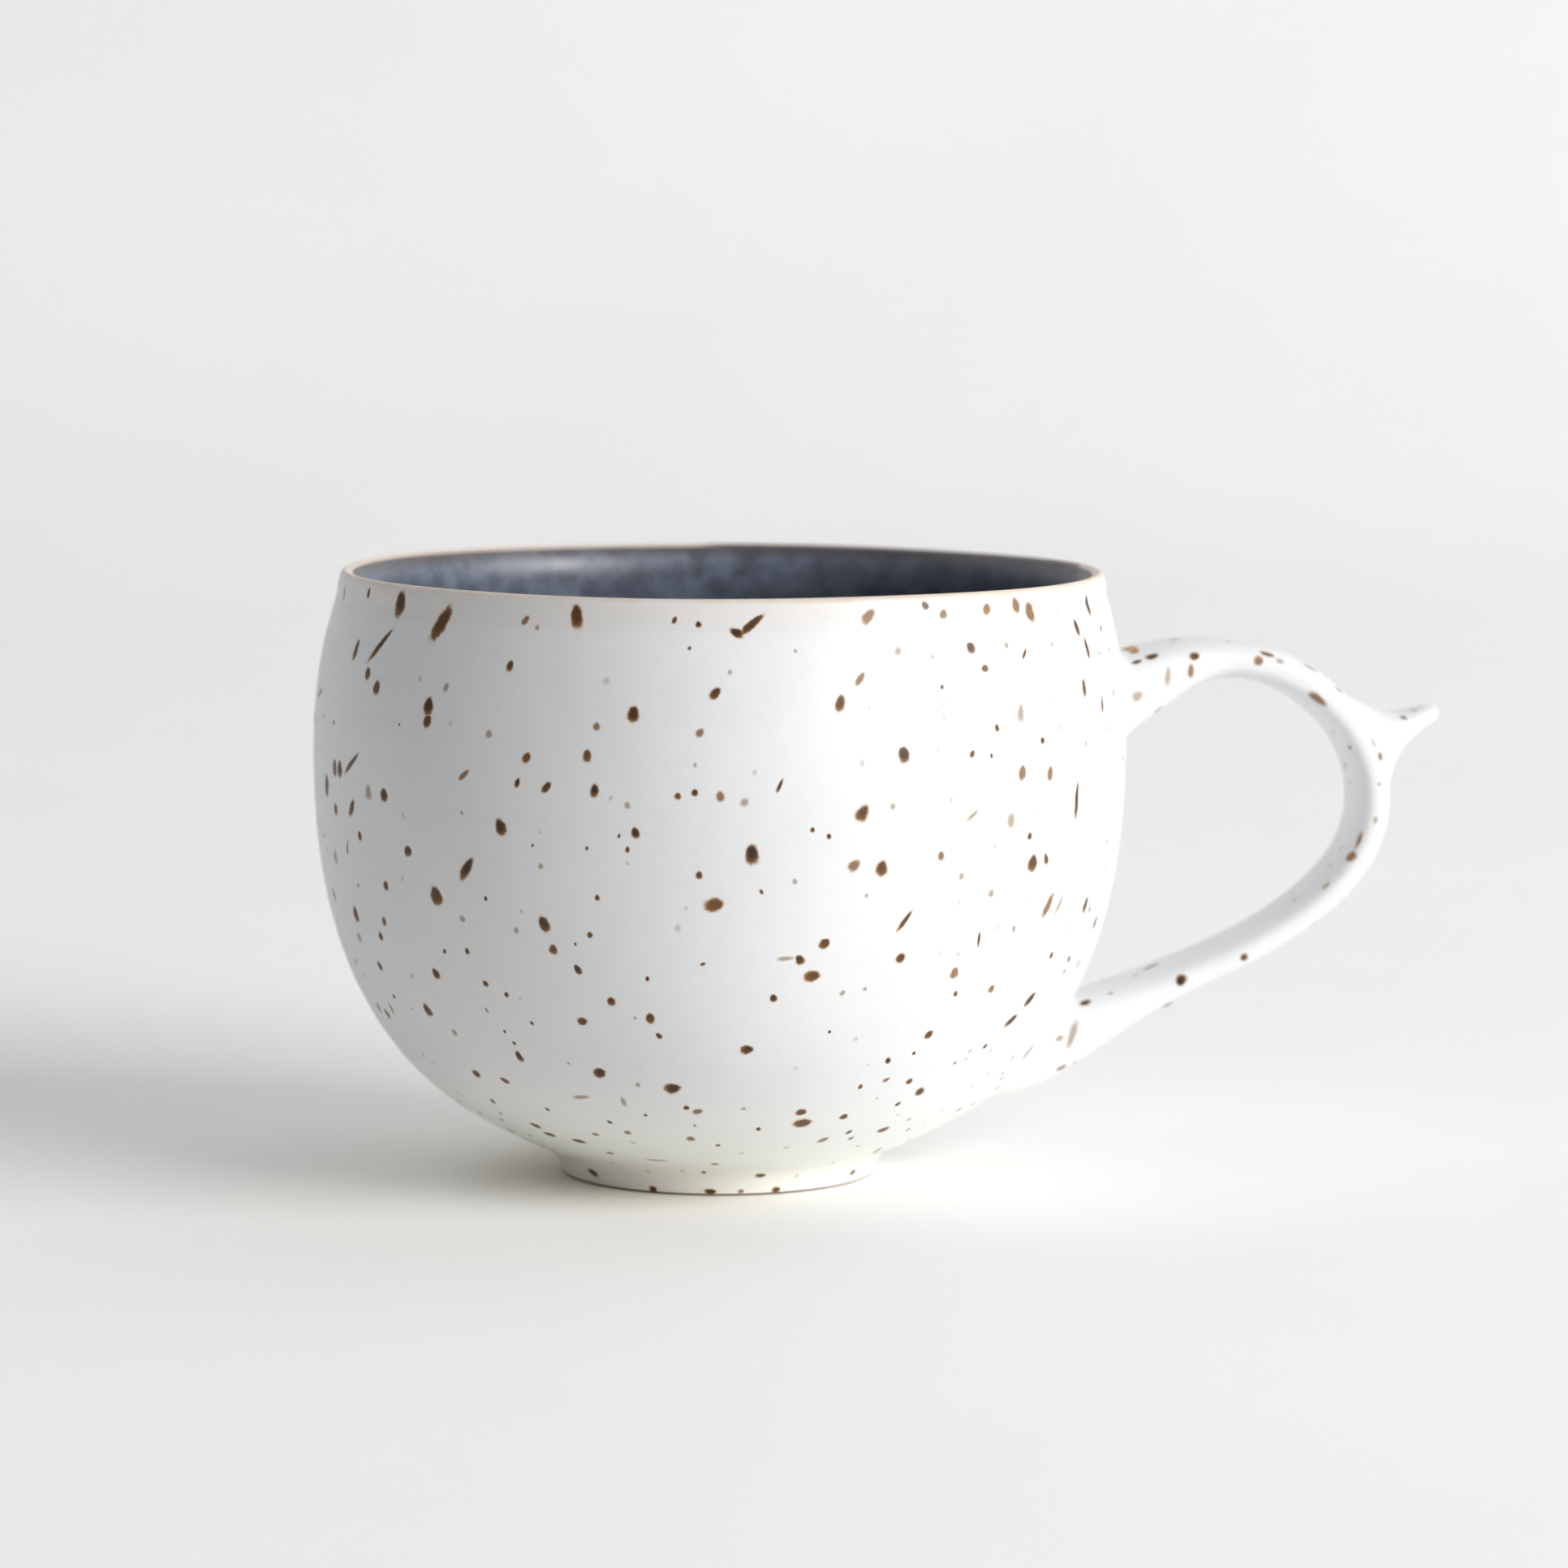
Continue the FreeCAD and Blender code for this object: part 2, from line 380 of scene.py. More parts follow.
def horn_height(along, sideways):
    """Height of the horn's surface over points of its root plane, far below it outside the horn."""
    level, thick, wide = spline(SPUR_SECTIONS, 120).T
    low = np.full(along.shape, level[0])
    high = np.full(along.shape, level[-1])
    for halving in range(24):
        middle = (low + high) / 2
        share = np.abs(along / np.interp(middle, level, thick)) ** SPUR_POWER
        share += np.abs(sideways / np.interp(middle, level, wide)) ** SPUR_POWER
        low = np.where(share < 1, middle, low)
        high = np.where(share < 1, high, middle)
    return np.where(low > level[0] + 0.01, low, NO_HORN)


def draw_out_spur(lines, outer_sides):
    """Lifts the strap's outer sides onto the horn, with a soft hollow round its foot."""
    root = np.array([SPUR_ROOT[0], 0, SPUR_ROOT[1]])
    pull = (np.array([SPUR_TIP[0], 0, SPUR_TIP[1]]) - root) / SPUR_LENGTH
    offset = lines[:, outer_sides] - root
    skin = offset @ pull
    horn = horn_height(offset[..., 2] * pull[0] - offset[..., 0] * pull[2], offset[..., 1])
    blend = np.maximum(SPUR_BLEND - np.abs(skin - horn), 0) / SPUR_BLEND
    lifted = np.maximum(skin, horn) + blend ** 2 * SPUR_BLEND / 4
    drawn = lines.copy()
    drawn[:, outer_sides] += (lifted - skin)[..., None] * pull
    return drawn


def crossing_rows(lines, from_end):
    """For each line along the strap, the row where it comes out of the bowl."""
    inside = depth_in_bowl(lines) > 0
    rows = np.arange(len(lines))
    if from_end:
        return np.array([rows[inside[:, j] & (rows > len(lines) // 2)].min() for j in range(STRAP_SIDES)])
    return np.array([rows[inside[:, j] & (rows < len(lines) // 2)].max() for j in range(STRAP_SIDES)])


def fillet(lines, crossing, step, reach):
    """Rows that carry the strap's skin smoothly onto the bowl, from the strap to below the coat."""
    strap_reach, bowl_reach = reach
    sides = np.arange(STRAP_SIDES)
    spacing = np.linalg.norm(lines[crossing, sides] - lines[crossing + step, sides], axis=1)
    start = crossing + step * np.maximum(1, np.round(strap_reach / spacing)).astype(int)
    start = np.clip(start, 0, len(lines) - 1)
    from_strap = lines[start, sides]
    corner = lines[crossing, sides]
    outward = corner - corner.mean(axis=0)
    outward /= np.linalg.norm(outward, axis=1)[:, None]
    landing = onto_bowl(corner + outward * bowl_reach)
    rows = []
    for k in range(1, FILLET_ROWS + 1):
        t = k / FILLET_ROWS
        rows.append((1 - t) ** 2 * from_strap + 2 * t * (1 - t) * onto_bowl(corner) + t * t * landing)
    tucked = landing - TUCK * landing / np.linalg.norm(landing[:, :2], axis=1)[:, None]
    return start, np.array(rows + [tucked])


def make_handle_coat():
    """The white coat over strap, spur and slip, closed off inside the bowl's wall."""
    lines, centre, outer_sides = strap_lines()
    upper_start, upper_rows = fillet(lines, crossing_rows(lines, False), 1, UPPER_FILLET)
    lower_start, lower_rows = fillet(lines, crossing_rows(lines, True), -1, LOWER_FILLET)
    sides = np.arange(STRAP_SIDES)
    middle = []
    for t in np.linspace(0, 1, STRAP_ROWS):
        row = upper_start + (lower_start - upper_start) * t
        low = np.floor(row).astype(int)
        high = np.minimum(low + 1, len(lines) - 1)
        part = (row - low)[:, None]
        middle.append(lines[low, sides] * (1 - part) + lines[high, sides] * part)
    rows = np.vstack([upper_rows[::-1], draw_out_spur(np.array(middle), outer_sides), lower_rows])
    points = rows.reshape(-1, 3)
    faces = []
    for i in range(len(rows) - 1):
        for j in range(STRAP_SIDES):
            a = i * STRAP_SIDES + j
            b = i * STRAP_SIDES + (j + 1) % STRAP_SIDES
            faces.append((a, b, b + STRAP_SIDES, a + STRAP_SIDES))
    faces.append(tuple(range(STRAP_SIDES)))
    faces.append(tuple(range(len(points) - STRAP_SIDES, len(points))))
    points = as_thrown(uneven(points))
    return new_piece("glaze_handle", points, faces, "speckled_white_glaze", "handle_glaze"), centre


def uneven(points):
    """Slight hand-made unevenness, fading out at the bowl."""
    moved = points.copy()
    noise.seed_set(UNEVEN_SEED)
    for i, point in enumerate(points):
        away = min(1.0, max(0.0, (math.hypot(point[0], point[1]) - UNEVEN_START) / UNEVEN_RISE))
        moved[i] += UNEVENNESS * away * np.array(noise.noise_vector(Vector(point) / UNEVEN_GRAIN))
    return moved


# ---- iron spots ----

SPOT_FIELDS = ("spot_centre", "spot_long", "spot_wide", "spot_look")
DARK, BROWN, AMBER, OLIVE, FAINT = range(5)
SPOT_TONES = {              # (amber share, cover, softness)
    DARK: (0.0, 1.0, 0.20),
    BROWN: (0.25, 1.0, 0.24),
    AMBER: (0.75, 0.9, 0.32),
    OLIVE: (0.60, 0.62, 0.45),
    FAINT: (0.60, 0.32, 0.60),
}
SPOT_HALO = 1.6             # how far a spot's stain reaches, as a share of its half length
SPOT_ROOM = 0.55            # radius that a spot takes up, as a share of its length
PLACED_CLEARANCE = 1.7      # bare glaze round a placed spot
SCATTER_CLEARANCE = 0.5     # bare glaze round any other
FACE_REACH = 0.8            # no face reaches further than this from its middle
SPOT_FREE_LIP = 1.5         # height of the lip's edge that scattered spots keep clear of
WALL_TRIES = 1900           # scattered spots tried; the crowded ones are left out
WALL_SEED = 8
HANDLE_TRIES = 130
HANDLE_SEED = 11
RECESS_TRIES = 40
RECESS_SEED = 5
UP = Vector((0, 0, 1))      # spots on the wall lie along the way it was thrown up
ACROSS = Vector((1, 0, 0))  # spots under the foot lie along this

# The most noticeable spots on the wall, as (degrees to the right of the middle of the side turned to
# the camera, height, length, width, degrees of lean to the right, tone).
WALL_SPOTS = [
    (-53, 72.5, 3.1, 2.0, 10, DARK),
    (-43, 70.8, 4.6, 1.8, 28, DARK),
    (-56, 67.5, 5.6, 0.8, 44, DARK),
    (-63, 66.5, 2.6, 1.1, 15, DARK),
    (-58, 64.0, 1.5, 1.2, 0, BROWN),
    (-55, 62.5, 1.7, 1.4, 10, BROWN),
    (-20, 72.4, 2.9, 1.4, -7, DARK),
    (3, 70.9, 1.7, 1.1, -60, DARK),
    (5, 71.8, 3.9, 0.9, 50, DARK),
    (-43, 61.1, 2.3, 1.5, 8, DARK),
    (-43, 59.4, 1.7, 1.2, 15, BROWN),
    (-11, 61.5, 1.8, 1.3, 5, DARK),
    (0, 64.0, 1.6, 1.0, 40, BROWN),
    (-75, 72.5, 1.9, 0.8, 10, BROWN),
    (-63, 73.2, 1.3, 0.8, 15, DARK),
    (-28, 71.8, 1.2, 0.7, 40, AMBER),
    (-65, 52.0, 2.0, 1.6, 0, DARK),
    (-71, 49.5, 2.7, 1.6, 0, DARK),
    (-67, 47.0, 1.4, 1.2, 0, BROWN),
    (-56, 50.0, 1.6, 1.4, 0, OLIVE),
    (-59, 44.5, 1.1, 0.9, -20, BROWN),
    (-69, 41.0, 1.6, 1.3, 0, OLIVE),
    (-64, 34.5, 2.0, 1.4, 0, DARK),
    (-55, 34.5, 1.1, 0.9, 20, BROWN),
    (-57, 32.5, 1.1, 1.0, 0, BROWN),
    (-65, 31.5, 1.2, 1.1, 0, OLIVE),
    (-60, 28.5, 1.3, 1.0, -20, DARK),
    (-53, 39.0, 1.1, 1.0, 0, BROWN),
    (-45, 29.0, 1.4, 1.1, -30, DARK),
    (-40, 63.5, 1.1, 0.7, 30, OLIVE),
    (-32, 58.5, 0.9, 0.8, 0, OLIVE),
    (-26, 71.0, 0.6, 0.5, 0, OLIVE),
    (-16, 60.0, 0.9, 0.8, 0, AMBER),
    (-16, 40.0, 0.7, 0.6, 0, BROWN),
    (-15, 27.5, 1.1, 1.0, 0, BROWN),
    (-2, 43.0, 0.9, 0.8, 0, BROWN),
    (-2, 59.5, 1.1, 0.8, 40, AMBER),
    (4, 51.5, 1.0, 0.8, 40, OLIVE),
    (10, 33.0, 1.8, 0.5, 85, OLIVE),
    (-26, 56.0, 1.3, 1.0, 30, BROWN),
    (-36, 53.5, 1.8, 0.6, 50, AMBER),
    (-23, 52.7, 1.6, 0.8, 42, DARK),
    (-61, 53.0, 4.4, 0.7, 54, DARK),
    (-67, 52.0, 2.0, 1.4, 0, BROWN),
    (-52, 50.0, 1.6, 1.5, 0, DARK),
    (-61, 47.7, 2.3, 1.1, 32, DARK),
    (-30, 47.7, 2.0, 1.4, -20, DARK),
    (-47, 43.7, 1.3, 1.2, 0, DARK),
    (-36, 42.4, 3.3, 1.2, 36, DARK),
    (-42, 38.7, 2.4, 1.8, -10, DARK),
    (-24, 36.5, 2.0, 1.3, -25, DARK),
    (-23, 33.5, 1.2, 1.0, 0, BROWN),
    (-50, 24.0, 1.7, 1.4, -15, DARK),
    (-20, 24.8, 1.3, 1.0, 80, BROWN),
    (-19, 18.2, 1.7, 1.4, 60, DARK),
    (-7, 16.5, 1.9, 1.6, 70, DARK),
    (5, 21.7, 1.5, 1.3, 80, DARK),
    (17, 11.5, 2.1, 1.8, 90, BROWN),
    (5, 45.4, 2.4, 1.5, 0, DARK),
    (0, 39.5, 2.2, 1.6, 75, BROWN),
    (14, 30.8, 1.9, 1.3, 80, BROWN),
    (12, 32.8, 1.3, 1.1, -30, DARK),
    (20, 50.0, 2.0, 1.4, 25, BROWN),
    (23, 43.4, 1.7, 1.4, 10, BROWN),
    (19, 43.9, 1.5, 1.1, 50, AMBER),
    (26, 56.6, 1.9, 1.4, -15, DARK),
    (17, 62.8, 2.0, 1.0, 15, BROWN),
    (27, 37.0, 2.8, 0.6, 35, BROWN),
    (27, 32.5, 1.3, 1.1, 60, BROWN),
    (22, 72.6, 2.0, 1.1, 42, AMBER),
    (-39, 15.9, 1.3, 0.8, -60, BROWN),
    (-47, 12.4, 1.0, 0.7, 0, DARK),
    (-41, 9.5, 1.4, 1.1, -60, DARK),
    (-40, 8.2, 1.5, 1.2, -70, DARK),
    (-33, 7.7, 1.8, 1.1, -80, DARK),
    (-28, 6.0, 1.0, 0.7, 80, BROWN),
    (-26, 9.2, 0.8, 0.8, 0, AMBER),
    (-18, 9.9, 0.9, 0.8, 0, AMBER),
    (-5, 13.9, 0.8, 0.7, 0, BROWN),
    (-3, 13.4, 1.2, 0.9, 60, AMBER),
    (16, 13.1, 1.3, 1.2, 90, BROWN),
    (24, 8.6, 1.5, 1.0, 30, AMBER),
    (-5, 9.3, 1.3, 1.0, 0, AMBER),
    (25, 12.1, 1.1, 1.0, 0, BROWN),
    (59, 10.5, 0.9, 0.7, 0, AMBER),
    (35, 16.4, 0.9, 0.8, 0, BROWN),
    (30, 16.9, 0.9, 0.6, 60, AMBER),
    (-24, 14.7, 2.1, 0.6, 80, OLIVE),
    (-16, 5.3, 2.4, 0.6, 90, OLIVE),
    (0, 4.9, 0.9, 0.7, 90, AMBER),
    (15, 2.7, 1.3, 0.8, 90, BROWN),
    (57, 1.5, 1.2, 0.8, 90, BROWN),
    (-49, 1.7, 1.7, 1.0, -70, BROWN),
    (-23, 0.6, 1.0, 0.8, 90, DARK),
    (-2, 0.6, 1.4, 0.7, 90, DARK),
    (9, 0.6, 0.7, 0.5, 90, AMBER),
    (22, 0.6, 1.0, 0.8, 90, BROWN),
    (42, 72.8, 1.3, 1.1, 0, AMBER),
    (48, 73.0, 1.7, 1.2, -20, AMBER),
    (51, 72.0, 2.3, 1.5, -12, AMBER),
    (69, 71.7, 2.6, 1.1, -15, DARK),
    (59, 49.3, 4.4, 0.8, 3, BROWN),
    (26, 68.5, 1.0, 0.8, 20, OLIVE),
    (20, 65.5, 1.7, 0.7, 35, AMBER),
    (31, 73.6, 1.1, 0.8, -40, DARK),
    (34, 72.5, 1.1, 1.0, 0, AMBER),
    (40, 66.0, 0.8, 1.0, 0, BROWN),
    (46, 60.5, 2.0, 1.0, 5, OLIVE),
    (63, 69.5, 2.0, 1.0, -12, DARK),
    (65, 67.0, 2.6, 0.8, -8, DARK),
    (62, 62.5, 2.1, 0.9, 0, BROWN),
    (68, 60.0, 1.9, 0.7, 0, BROWN),
    (46, 53.5, 1.8, 1.2, 5, AMBER),
    (52, 53.0, 1.6, 1.0, 10, AMBER),
    (37, 49.0, 1.9, 0.5, 55, OLIVE),
    (44, 48.0, 1.8, 1.1, 0, OLIVE),
    (32, 44.5, 1.1, 0.9, 0, AMBER),
    (52, 42.8, 1.4, 0.8, -25, BROWN),
    (57, 36.8, 2.6, 0.6, 25, OLIVE),
    (73, 33.0, 1.6, 1.0, 20, DARK),
    (45, 27.5, 1.0, 0.9, 0, AMBER),
    (35, 22.5, 1.2, 1.0, 30, BROWN),
    (49, 42.5, 2.1, 1.6, 5, BROWN),
    (54, 37.0, 3.2, 1.0, 28, AMBER),
    (53, 22.8, 2.2, 1.0, 50, BROWN),
    (56, 25.2, 2.2, 1.0, 45, DARK),
]


# The most noticeable spots on the near side of the handle, as (x, z, length, width, degrees of lean
# off the strap's own direction, tone).
HANDLE_SPOTS = [
    (51.2, 63.4, 1.3, 0.7, 0, DARK),
    (53.0, 64.1, 1.6, 1.1, 0, DARK),
    (58.4, 64.1, 1.3, 1.0, 0, DARK),
    (54.9, 61.7, 2.2, 0.8, -60, OLIVE),
    (57.8, 62.2, 1.7, 0.8, -75, AMBER),
    (50.8, 59.4, 1.5, 1.2, 0, OLIVE),
    (66.4, 63.5, 1.2, 1.1, 0, AMBER),
    (67.8, 64.2, 1.8, 0.9, 0, DARK),
    (69.2, 63.4, 1.0, 0.7, 0, OLIVE),
    (73.6, 62.4, 2.2, 1.0, 0, BROWN),
    (77.0, 59.7, 1.5, 0.7, 0, BROWN),
    (74.1, 58.8, 2.7, 0.9, 0, AMBER),
    (82.3, 51.3, 1.1, 0.9, 0, AMBER),
    (81.3, 53.1, 1.6, 0.5, 0, OLIVE),
    (85.7, 56.0, 0.9, 0.6, 0, BROWN),
    (87.1, 57.3, 0.9, 0.5, 0, OLIVE),
    (81.7, 43.5, 0.9, 0.5, 0, OLIVE),
    (79.8, 40.9, 2.0, 0.6, 0, AMBER),
    (78.7, 38.8, 1.5, 1.1, 30, AMBER),
    (75.6, 35.2, 1.2, 0.6, 0, OLIVE),
    (65.2, 26.5, 1.0, 0.9, 0, BROWN),
    (57.2, 23.8, 1.5, 1.3, -40, DARK),
    (48.5, 22.0, 0.7, 0.4, 0, BROWN),
    (45.2, 20.9, 1.5, 1.2, -20, DARK),
    (43.2, 17.4, 3.2, 0.9, -45, OLIVE),
    (41.5, 17.0, 1.1, 0.7, 0, OLIVE),
]


def spot_values(centre, normal, grain, length, width, lean, tone, chance):
    """The four vectors that describe one spot to the material."""
    up = (grain - normal * grain.dot(normal)).normalized()
    right = up.cross(normal)
    lean = math.radians(lean)
    long_way = (up * math.cos(lean) + right * math.sin(lean)) * (2 / length)
    wide_way = (right * math.cos(lean) - up * math.sin(lean)) * (2 / width)
    amber, cover, softness = SPOT_TONES[tone]
    look = Vector((min(1, amber + 0.3 * chance), cover, softness))
    return centre, long_way, wide_way, look


def random_spot(draw):
    """Length, width, lean and tone of one spot; most are small, and small ones are often faint."""
    size = draw.random()
    lean = draw.gauss(5, 24)
    if size < 0.02:
        length = draw.uniform(1.8, 2.6)
        width = length * draw.uniform(0.42, 0.68)
        tone = draw.choice([DARK, DARK, DARK, BROWN, AMBER])
    elif size < 0.16:
        length = draw.uniform(1.0, 1.6)
        width = length * draw.uniform(0.5, 0.9)
        tone = draw.choice([DARK, DARK, BROWN, BROWN, AMBER, OLIVE])
    elif size < 0.21:
        length = draw.uniform(1.4, 3.0)
        width = draw.uniform(0.35, 0.6)
        tone = draw.choice([DARK, BROWN, OLIVE])
    else:
        length = draw.uniform(0.35, 0.9)
        width = length * draw.uniform(0.6, 0.95)
        tone = draw.choice([DARK, BROWN, BROWN, OLIVE, OLIVE, FAINT, FAINT, FAINT])
    return length, width, lean, tone


def spots_on(piece, tries, grain_at, seed, placed=(), place_of=None, keep=lambda centre: True):
    """Fills a piece's face attributes with its placed spots and a seeded scatter between them."""
    draw = random.Random(seed)
    polygons = piece.data.polygons
    centres = [p.center / MM for p in polygons]
    normals = [p.normal.copy() for p in polygons]
    areas = np.cumsum([p.area for p in polygons])
    tree = kdtree.KDTree(len(centres))
    for i, centre in enumerate(centres):
        tree.insert(centre, i)
    tree.balance()
    spots = []
    taken = []

    def add(centre, normal, length, width, lean, tone, clearance):
        values = spot_values(centre, normal, grain_at(centre), length, width, lean, tone, draw.random())
        spots.append((values, length))
        taken.append((centre, SPOT_ROOM * length + clearance))

    for *where, length, width, lean, tone in placed:
        centre, normal = place_of(*where)
        add(centre, normal, length, width, lean, tone, PLACED_CLEARANCE)
    for attempt in range(tries):
        face = int(np.searchsorted(areas, draw.random() * areas[-1]))
        length, width, lean, tone = random_spot(draw)
        centre = centres[face]
        crowded = any((centre - other).length < SPOT_ROOM * length + reach for other, reach in taken)
        if crowded or not keep(centre):
            continue
        add(centre, normals[face], length, width, lean, tone, SCATTER_CLEARANCE)

    values = {field: np.zeros((len(polygons), 3), np.float32) for field in SPOT_FIELDS}
    nearest = np.full(len(polygons), np.inf)
    for spot, length in spots:
        centre, long_way, wide_way, look = spot
        for place, face, _ in tree.find_range(centre, length / 2 * SPOT_HALO + FACE_REACH):
            offset = place - centre
            reach = math.hypot(offset.dot(long_way), offset.dot(wide_way))
            if reach < nearest[face] and normals[face].dot(offset) > -length:
                nearest[face] = reach
                for field, vector in zip(SPOT_FIELDS, spot):
                    values[field][face] = vector
    for field in SPOT_FIELDS:
        layer = piece.data.attributes.new(field, "FLOAT_VECTOR", "FACE")
        layer.data.foreach_set("vector", values[field].ravel())


def wall_place(degrees, height):
    """The point on the glazed outside to the right of the side turned to the camera, and its normal."""
    turn = math.radians(degrees - 90 - HANDLE_TURN)
    radius = float(bowl_radius(height))
    slope = float(bowl_radius(height + 0.3) - bowl_radius(height - 0.3)) / 0.6
    normal = Vector((math.cos(turn), math.sin(turn), -slope)).normalized()
    return Vector((radius * math.cos(turn), radius * math.sin(turn), height)), normal


def on_outer_wall(centre):
    """True on the visible outside, clear of the lip and of the coat's hidden back."""
    radius = math.hypot(centre.x, centre.y)
    return centre.z < TOP - SPOT_FREE_LIP and radius > bowl_radius(centre.z) - COAT / 2


def handle_places(handle):
    """A function that finds places on the side of the handle turned to the camera."""
    near_side = [face for face in handle.data.polygons if face.normal.y < -0.15]

    def handle_place(x, z):
        """The middle and normal of the face nearest to (x, z)."""
        nearest = min(near_side, key=lambda face: math.dist((face.center.x / MM, face.center.z / MM), (x, z)))
        return nearest.center / MM, nearest.normal.copy()

    return handle_place


def along_strap(strap_centre):
    """A function that gives the strap's own direction near a point."""
    def direction(centre):
        near = int(np.argmin(np.linalg.norm(strap_centre - np.array(centre), axis=1)))
        near = min(max(near, 1), len(strap_centre) - 2)
        return Vector(strap_centre[near + 1] - strap_centre[near - 1])

    return direction


# ---- materials ----

def colour(red, green, blue):
    """A scene-linear colour from everyday 0-255 values."""
    def linear(value):
        share = value / 255
        return share / 12.92 if share <= 0.04045 else ((share + 0.055) / 1.055) ** 2.4
    return (linear(red), linear(green), linear(blue), 1.0)


WHITE = colour(223, 224, 226)
WHITE_CLOUD = colour(228, 228, 229)
WHITE_GRAIN = colour(206, 207, 209)
WHITE_SAND = colour(206, 206, 204)
# glaze pooled low on the wall and at the foot, made lighter than the body as painted bounce light from the
# floor
POOLED_WHITE_AND_PAINTED_BOUNCE = colour(246, 247, 242)
GLASSY_FOOT_AND_PAINTED_BOUNCE = colour(240, 239, 230)
CREAMY_BAND = colour(220, 213, 204)
DRAGGED_LINE = colour(206, 198, 188)
THIN_WHITE = colour(208, 182, 154)
LIP_CLAY = colour(206, 180, 154)
LIP_TOAST = colour(70, 46, 40)
SPOT_HEART = colour(48, 32, 19)
SPOT_BODY = colour(130, 88, 42)
SPOT_WEAK = colour(114, 106, 50)
SPOT_STAIN = colour(206, 172, 116)
SLATE = colour(82, 88, 101)
SLATE_CLOUD = colour(108, 117, 134)
SLATE_GRAIN = colour(64, 68, 79)
THIN_SLATE = colour(74, 58, 52)
CLAY = colour(196, 166, 132)
CLAY_TOAST = colour(168, 128, 92)
CLAY_SAND = colour(206, 184, 154)
CLAY_SPECK = colour(70, 46, 34)
PAPER = colour(246, 246, 246)
PAPER_CLOUD = colour(249, 249, 249)
# painted warm bounce light, for the floor in the pot's shadow
PAINTED_WARM_BOUNCE = colour(246, 243, 234)

LIP_EDGE = 45.85            # radius inside which the white coat thins over the lip
TOASTED_EDGE = 46.7         # the same where the lip is toasted
EDGE_SOFTNESS = 0.3         # over what width it thins


class Graph:
    """A node tree that is built one node per call; each call returns the node's main output."""

    def __init__(self, tree):
        self.tree = tree

    def node(self, kind, *values, out=0, **settings):
        made = self.tree.nodes.new(kind)
        for name, value in settings.items():
            setattr(made, name, value)
        for slot, value in enumerate(values):
            self.plug(made.inputs[slot], value)
        return made.outputs[out]

    def plug(self, socket, value):
        if isinstance(value, bpy.types.NodeSocket):
            self.tree.links.new(value, socket)
        elif value is not None:
            socket.default_value = value

    def math(self, operation, *values):
        return self.node("ShaderNodeMath", *values, operation=operation)

    def hypot(self, x, y):
        """The distance of (x, y) from (0, 0)."""
        squares = self.math("ADD", self.math("MULTIPLY", x, x), self.math("MULTIPLY", y, y))
        return self.math("SQRT", squares)

    def vector(self, operation, *values):
        out = 1 if operation == "DOT_PRODUCT" else 0
        return self.node("ShaderNodeVectorMath", *values, operation=operation, out=out)

    def scaled(self, vector, scale):
        made = self.tree.nodes.new("ShaderNodeVectorMath")
        made.operation = "SCALE"
        self.plug(made.inputs[0], vector)
        self.plug(made.inputs["Scale"], scale)
        return made.outputs[0]

    def fade(self, value, start, end, low=0.0, high=1.0):
        """Smoothly from low to high as value goes from start to end."""
        made = self.tree.nodes.new("ShaderNodeMapRange")
        made.interpolation_type = "SMOOTHSTEP"
        for slot, given in enumerate((value, start, end, low, high)):
            self.plug(made.inputs[slot], given)
        return made.outputs[0]

    def mix(self, share, first, second):
        """The colour share of the way from first to second."""
        made = self.tree.nodes.new("ShaderNodeMix")
        made.data_type = "RGBA"
        self.plug(made.inputs[0], share)
        self.plug(made.inputs[6], first)
        self.plug(made.inputs[7], second)
        return made.outputs[2]

    def layer(self, base, share, strength, tint):
        """The base colour under a tint that covers it by share times strength."""
        return self.mix(self.math("MULTIPLY", share, strength), base, tint)

    def mix_value(self, share, first, second):
        """The value share of the way from first to second."""
        return self.node("ShaderNodeMix", share, None, first, second)

    def noise(self, vector, scale, detail=3.0, roughness=0.55):
        made = self.tree.nodes.new("ShaderNodeTexNoise")
        self.plug(made.inputs["Vector"], vector)
        made.inputs["Scale"].default_value = scale
        made.inputs["Detail"].default_value = detail
        made.inputs["Roughness"].default_value = roughness
        return made.outputs[0]

    def attribute(self, name):
        return self.node("ShaderNodeAttribute", attribute_name=name, out=1)

    def place(self):
        """The mug-frame position in millimetres, and its x, y and z."""
        coordinates = self.node("ShaderNodeTexCoord", out=3)
        position = self.scaled(coordinates, 1 / MM)
        split = self.tree.nodes.new("ShaderNodeSeparateXYZ")
        self.plug(split.inputs[0], position)
        return position, *split.outputs

    def bump(self, height, distance, strength):
        made = self.tree.nodes.new("ShaderNodeBump")
        self.plug(made.inputs["Height"], height)
        made.inputs["Distance"].default_value = distance
        made.inputs["Strength"].default_value = strength
        return made.outputs[0]


def new_material(name):
    """A material with one Principled surface; returns the material, its graph and the surface node."""
    material = bpy.data.materials.new(name)
    material.use_nodes = True
    surface = material.node_tree.nodes["Principled BSDF"]
    return material, Graph(material.node_tree), surface


